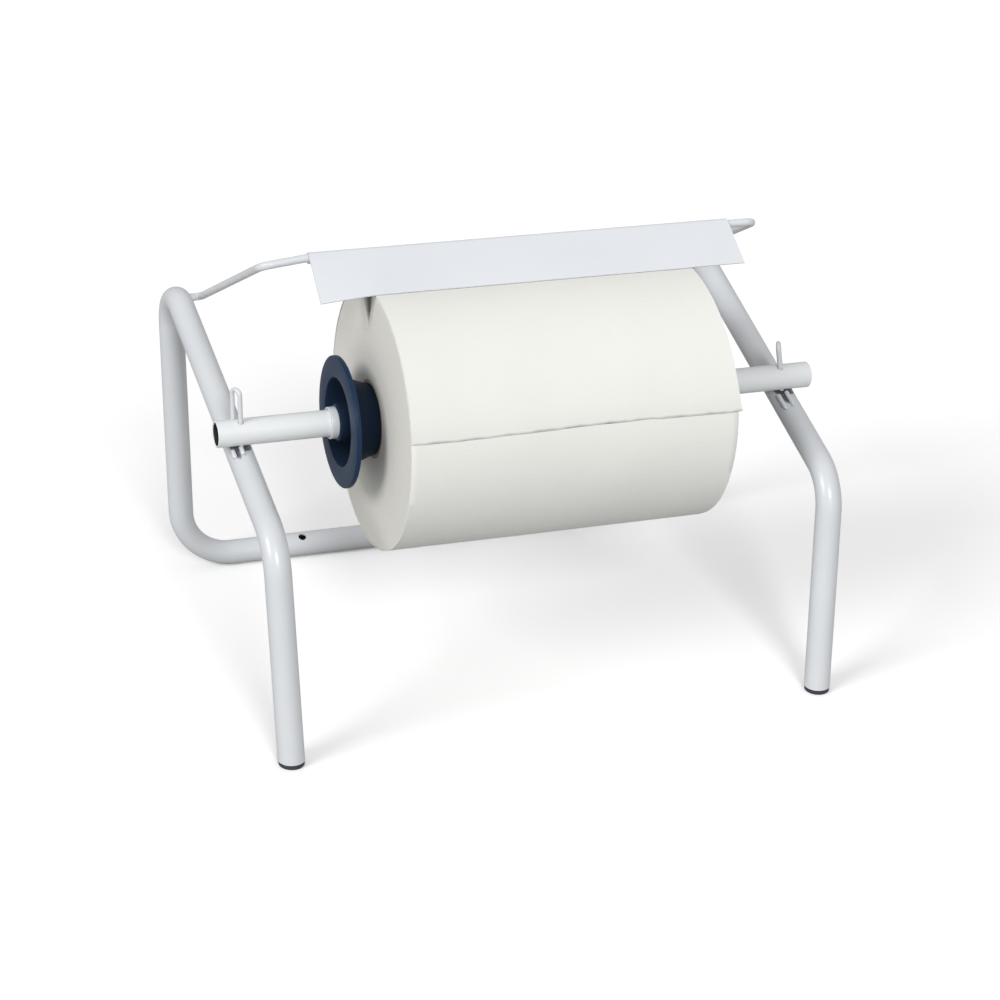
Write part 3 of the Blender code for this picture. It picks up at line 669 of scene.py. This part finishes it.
collar_coat = powder_coat("collar_coat", (0.64, 0.67, 0.68), (0.58, 0.61, 0.63), 0.36)
screw_steel = Finish("screw_steel", (0.42, 0.42, 0.43), Metallic=1.0)
scuffs = screw_steel.speckle(screw_steel.place(), 2500.0, 3.0)
screw_steel.feed("Roughness", scuffs * 0.25 + 0.22)
screw_steel.relief(scuffs, 0.00003, 0.4)
for name, side in SIDES.items():
    inner = CORE_FACES[name] + side * (FLANGE_STANDOFF + HUB_PROUD + CLEARANCE)
    profile = eased([(0, HUB_BORE), (0, COLLAR_RADIUS), (COLLAR_WIDTH, COLLAR_RADIUS),
                     (COLLAR_WIDTH, HUB_BORE)], COLLAR_CHAMFER)
    profile[:, 0] = inner + side * profile[:, 0]
    collar = make_piece("stop_collar_" + name, *turned(profile, ROUND_SIDES))
    middle = np.array([inner + side * COLLAR_WIDTH / 2, AXIS_Y, AXIS_Z])
    outward = np.array([0, np.cos(SCREW_TURN), np.sin(SCREW_TURN)])
    bit = straight_rod(middle, middle + outward * DRILL_REACH, SCREW_HOLE_RADIUS, SCREW_HOLE_SIDES)
    drill(collar, [bit])
    collar_coat.on(collar)
    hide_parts("collar_" + name)
    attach(collar, "stop_" + name)
    screw_steel.on(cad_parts["collar_screw_" + name])


# The core: a tube of light grey-brown board, wound in a spiral from several plies and cut square. The cones
# push into its ends.
CORE_BORE_RADIUS = 0.0265
CORE_RADIUS = 0.0295
CORE_EDGE = 0.0004
CORE_STEP = 0.01
PLY_WIDTH = 0.06

core_profile = [(CORE_FACES["left"], CORE_BORE_RADIUS), (CORE_FACES["left"], CORE_RADIUS),
                (CORE_FACES["right"], CORE_RADIUS), (CORE_FACES["right"], CORE_BORE_RADIUS)]
core = make_piece("board_core", *turned(eased(core_profile, CORE_EDGE), ROUND_SIDES, CORE_STEP))
board = Finish("core_board", (0.38, 0.34, 0.29), Specular_IOR_Level=0.05)
spot = board.place((0, AXIS_Y, AXIS_Z))
fibre = board.speckle(board.place((0, AXIS_Y, AXIS_Z), (0.25, 1, 1)), 700.0, 4.0)
angle = spot.part(2).turn_to(spot.part(1))
seam = (spot.part(0) / PLY_WIDTH + angle / (2 * np.pi)).math("FRACT").math("PINGPONG", 0.5)
off_seam = seam.rise(0.0, 0.02)
board_tone = fibre * 0.8 + (1 - off_seam) * 0.2
board.feed("Base Color", board.tint(board_tone, (0.44, 0.40, 0.345), (0.34, 0.305, 0.255)))
board.feed("Roughness", fibre * 0.15 + 0.78)
board.relief(fibre * 0.3 + off_seam, 0.0002, 0.5)
board.on(core)
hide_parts("roll_core")
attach(core, "roll")


# The wound paper: hundreds of wraps of creped tissue. Its ends are the cut edges of the wraps, a little
# uneven from wrap to wrap. Near the top the left end has a dented gap across its outer wraps. The right end
# stands past the core and leans inwards at the top.
ROLL_FACES = {"left": -0.1206, "right": 0.1339}
ROLL_RADIUS = 0.0987
END_ROWS = 64
WRAP_ROWS = 60
GAP_ANGLE = np.radians(79)
GAP_ARC = 0.2
GAP_COLUMNS = 80
PLAIN_COLUMNS = 280
PAPER_EDGE = 0.0008
GAP_HALF_WIDTH = (0.002, 0.013)
GAP_FLOOR = 0.070
GAP_DEPTH = 0.003
GAP_SHADE = (0.17, 0.17, 0.135)
RIGHT_LEAN = 0.005
RIGHT_LEAN_HALF = np.radians(85)

crepe = Finish("creped_paper", (0.80, 0.80, 0.76), Specular_IOR_Level=0.15)
spot = crepe.place((0, AXIS_Y, AXIS_Z))
angle = spot.part(2).turn_to(spot.part(1))
wrap = crepe.node("ShaderNodeCombineXYZ", (spot.part(0), angle * ROLL_RADIUS, 0.0))
wrinkle_place = crepe.node("ShaderNodeMapping", {"Vector": wrap, "Scale": (0.35, 1, 1)})
wrinkles = crepe.speckle(wrinkle_place, 650.0, 4.0, 0.6)
clouds = crepe.speckle(wrap, 16.0, 3.0)
bands = crepe.speckle(crepe.node("ShaderNodeMapping", {"Vector": wrap, "Scale": (1, 0.04, 1)}), 26.0, 2.0)
crepe_tone = clouds * 0.5 + bands * 0.3 + wrinkles * 0.2
crepe.feed("Base Color", crepe.tint(crepe_tone, (0.83, 0.83, 0.795), (0.76, 0.76, 0.72)))
crepe.feed("Roughness", wrinkles * 0.1 + 0.85)
crepe.relief(wrinkles * 0.5 + clouds * 1.2 + bands * 0.8, 0.0009, 0.5)

cut_edge = Finish("cut_paper_edge", (0.72, 0.70, 0.66), Specular_IOR_Level=0.1)
spot = cut_edge.place((0, AXIS_Y, AXIS_Z))
radius_here = cut_edge.place((0, AXIS_Y, AXIS_Z), (0, 1, 1)).length()
drift = cut_edge.speckle(spot, 22.0, 2.0)
ply = cut_edge.node("ShaderNodeCombineXYZ", (radius_here + drift * 0.002, drift * 0.01, 0.0))
plies = cut_edge.speckle(ply, 2600.0, 2.0)
groups = cut_edge.speckle(ply, 260.0, 3.0)
fuzz = cut_edge.speckle(spot, 1600.0, 3.0)
angle = spot.part(2).turn_to(spot.part(1))
edge_tone = plies * 0.45 + groups * 0.4 + fuzz * 0.15
paper_tone = cut_edge.tint(edge_tone, (0.80, 0.79, 0.745), (0.73, 0.72, 0.67))
# Painted shade: across the dented gap near the top of the left end the cut edge is tinted dark, darkest in
# the gap's middle.
narrow, wide = GAP_HALF_WIDTH
widening = radius_here.rise(GAP_FLOOR, ROLL_RADIUS) * (wide - narrow) + narrow
off_gap = ((angle - GAP_ANGLE) * radius_here).math("ABSOLUTE") / widening
on_left = 1 - spot.part(0).rise(-0.02, 0.02)
in_gap = (1 - off_gap.rise(0.2, 1.3)) * radius_here.rise(GAP_FLOOR, 0.082) * on_left
cut_edge.feed("Base Color", cut_edge.tint(in_gap, paper_tone, GAP_SHADE))
cut_edge.feed("Roughness", fuzz * 0.1 + 0.86)
cut_edge.relief(plies * 0.5 + groups * 0.5 + fuzz * 0.3, 0.0003, 0.4)


def wrap_radius(share, angles):
    """Radius of the outermost full wrap: a little less at the ends of the roll, with slow swells along it."""
    swell = np.sin(3 * angles + 4 * share) * np.sin(9 * share + angles)
    return ROLL_RADIUS - 0.00025 * (1 - np.sin(np.pi * share)) + 0.0002 * swell


def right_end(angles):
    """Where the right end lies: it leans inwards at the top, less and less to either side, as a squared
    cosine."""
    from_top = np.abs((angles - np.pi / 2 + np.pi) % (2 * np.pi) - np.pi)
    lean = np.cos(np.pi / 2 * np.clip(from_top / RIGHT_LEAN_HALF, 0, 1)) ** 2
    return ROLL_FACES["right"] - RIGHT_LEAN * lean


def set_in(radii, angles):
    """How far a cut end lies inside the roll's length: fine waves from wrap to wrap, and a slow bow that
    grows outwards."""
    wraps = 0.00003 * np.sin(radii * 5200) + 0.00005 * np.sin(radii * 1430 + 1.3)
    bowed = 0.0003 * np.sin(2 * angles + radii * 60) * (radii / ROLL_RADIUS)
    return 0.0004 + (wraps + bowed) * 0.8


gap_start, gap_end = GAP_ANGLE - GAP_ARC, GAP_ANGLE + GAP_ARC
angles = np.concatenate([np.linspace(gap_start, gap_end, GAP_COLUMNS, endpoint=False),
                         np.linspace(gap_end, gap_start + 2 * np.pi, PLAIN_COLUMNS, endpoint=False)])
radii = np.linspace(CORE_RADIUS + CLEARANCE, ROLL_RADIUS - PAPER_EDGE, END_ROWS)
radii, around = np.meshgrid(radii, angles, indexing="ij")
outward = np.clip((radii - GAP_FLOOR) / (ROLL_RADIUS - GAP_FLOOR), 0, 1)
across_gap = (around - GAP_ANGLE) * radii / (narrow + (wide - narrow) * outward)
dent = GAP_DEPTH * outward ** 0.7 * np.exp(-1.2 * across_gap ** 2)
left_face = round_axis(ROLL_FACES["left"] + dent + set_in(radii, around), radii, around)
right_face = round_axis(right_end(around) - set_in(radii, around), radii, around)
share = np.linspace(0, 1, WRAP_ROWS)[:, None]
x = ROLL_FACES["left"] + (right_end(angles) - ROLL_FACES["left"]) * (0.003 + 0.994 * share)
body = round_axis(x, wrap_radius(share, angles), angles)
rings = np.concatenate([left_face, body, right_face[::-1]])
wound = make_piece("wound_paper", *skin(rings, loop=True), sharp_degrees=60)
crepe.on(wound)
wound.data.materials.append(cut_edge.material)
end_finish = np.concatenate([np.ones(END_ROWS - 1), np.zeros(WRAP_ROWS + 1), np.ones(END_ROWS - 1), [0]])
wound.data.polygons.foreach_set("material_index", np.repeat(end_finish, len(angles)).astype(np.int32))
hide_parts("wipe_roll")
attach(wound, "roll")


# The loose outer wrap: the last turn of paper, with its torn edge on the front of the roll. At that edge its
# right corner stands a few millimetres past the wraps below.
TAIL_INNER = 0.0990
TAIL_OUTER = 0.0995
TAIL_EDGE = np.radians(168.1)
TAIL_SPAN = np.radians(285)
TAIL_FLARE = 0.0028
TAIL_FLARE_SHARE = 0.08
TAIL_LAID_SHARE = 0.025
TAIL_START_SHARE = 0.22
TAIL_START_DROP = 0.0007
TAIL_ROWS = 240
TAIL_COLUMNS = 120

share = np.linspace(0, 1, TAIL_ROWS)[:, None]
cross = np.linspace(0, 1, TAIL_COLUMNS)[None, :]
torn = (0.0008 * np.sin(cross * 7.0 + 0.6) + 0.0003 * np.sin(cross * 61.0)
        + 0.0002 * np.sin(cross * 143.0 + 2.0))
turned_by = TAIL_EDGE - TAIL_SPAN * (1 - share) + torn / TAIL_OUTER * share ** 8
flare = TAIL_FLARE * np.clip((share - 1) / TAIL_FLARE_SHARE + 1, 0, 1) ** 3
left_edge = ROLL_FACES["left"] + CLEARANCE
x = left_edge + (right_end(turned_by) - left_edge + flare) * cross
settle = -TAIL_START_DROP * np.clip(1 - share / TAIL_START_SHARE, 0, 1) ** 2
laid = np.clip((share - 1) / TAIL_LAID_SHARE + 1, 0, 1) ** 1.5
sides = []
for radius, over in ((TAIL_INNER, 0.00003), (TAIL_OUTER, 0.00018)):
    lies_at = radius + settle + (wrap_radius(cross, turned_by) + over - radius) * laid
    sides.append(round_axis(x, lies_at, turned_by))
rings = np.concatenate([sides[0], sides[1][:, ::-1]], axis=1)
tail = make_piece("loose_wrap", *skin(rings), sharp_degrees=50)
work = bmesh.new()
work.from_mesh(tail.data)
bmesh.ops.holes_fill(work, edges=[edge for edge in work.edges if edge.is_boundary])
bmesh.ops.recalc_face_normals(work, faces=work.faces)
work.to_mesh(tail.data)
work.free()
crepe.on(tail)
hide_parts("wipe_tail")
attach(tail, "roll")


# The studio: a pale floor, a soft key light from the front above, and a softer one from the left. The sky
# lights evenly, and where it is seen it is plain white.
FLOOR_HALF = 30
SKY_STRENGTH = 0.47

floor_mesh = bpy.data.meshes.new("studio_floor")
floor_corners = [(x * FLOOR_HALF, y * FLOOR_HALF, 0) for x, y in ((-1, -1), (1, -1), (1, 1), (-1, 1))]
floor_mesh.from_pydata(floor_corners, [], [(0, 1, 2, 3)])
floor = bpy.data.objects.new("studio_floor", floor_mesh)
bpy.context.scene.collection.objects.link(floor)
floor_paint = Finish("floor_paint", (0.96, 0.96, 0.96), Roughness=0.9, Specular_IOR_Level=0.0)
seen = floor_paint.node("ShaderNodeLightPath", output="Is Camera Ray")
floor_paint.feed("Base Color", floor_paint.tint(seen, (0.50, 0.50, 0.50), (0.96, 0.96, 0.96)))
floor_paint.feed("Emission Color", floor_paint.tint(seen, (0.0, 0.0, 0.0), (0.16, 0.16, 0.16)))
floor_paint.surface.inputs["Emission Strength"].default_value = 1.0
floor_paint.on(floor)

world = bpy.data.worlds.new("studio")
world.use_nodes = True
sky = world.node_tree.nodes["Background"]
sky.inputs["Color"].default_value = (1, 1, 1, 1)
sky_seen = world.node_tree.nodes.new("ShaderNodeLightPath").outputs["Is Camera Ray"]
brightness = world.node_tree.nodes.new("ShaderNodeMapRange")
brightness.inputs["To Min"].default_value = SKY_STRENGTH
brightness.inputs["To Max"].default_value = 1.0
world.node_tree.links.new(sky_seen, brightness.inputs["Value"])
world.node_tree.links.new(brightness.outputs["Result"], sky.inputs["Strength"])
bpy.context.scene.world = world
bpy.context.scene.view_settings.view_transform = "Standard"


def far_light(name, aim, power, spread_degrees):
    """A far light that shines along the given direction; a wide spread softens its shadows."""
    lamp = bpy.data.lights.new(name, "SUN")
    lamp.energy = power
    lamp.angle = np.radians(spread_degrees)
    made = bpy.data.objects.new(name, lamp)
    made.rotation_euler = Vector(aim).to_track_quat("-Z", "Y").to_euler()
    bpy.context.scene.collection.objects.link(made)


far_light("key", (0.09, 0.84, -0.53), 1.36, 16)
far_light("side", (0.79, 0.31, -0.53), 1.33, 24)


# The camera stands where the photograph was taken, a little to the left of the front and looking down. Its
# turns are about the upright, down from the level and about its line of sight, and its focal length is a
# multiple of the sensor's width.
SENSOR_WIDTH = 36
FOCAL_MULTIPLE = 2.78689
CAMERA_PLACE = (-0.69759, FOOT_Y - 1.69170, 1.04245)
CAMERA_TURNS = np.radians([20.693, 25.121, 2.623])

camera_data = bpy.data.cameras.new("photo_camera")
camera_data.sensor_width = SENSOR_WIDTH
camera_data.lens = FOCAL_MULTIPLE * SENSOR_WIDTH
camera = bpy.data.objects.new("photo_camera", camera_data)
yaw, pitch, roll = CAMERA_TURNS
forward = np.array([np.sin(yaw) * np.cos(pitch), np.cos(yaw) * np.cos(pitch), -np.sin(pitch)])
right = np.array([np.cos(yaw), -np.sin(yaw), 0])
above = np.cross(right, forward)
tilted_right = np.cos(roll) * right + np.sin(roll) * above
tilted_above = np.cos(roll) * above - np.sin(roll) * right
turn = np.eye(4)
turn[:3, 0], turn[:3, 1], turn[:3, 2] = tilted_right, tilted_above, -forward
turn[:3, 3] = CAMERA_PLACE
camera.matrix_world = Matrix(turn.tolist())
bpy.context.scene.collection.objects.link(camera)
bpy.context.scene.camera = camera
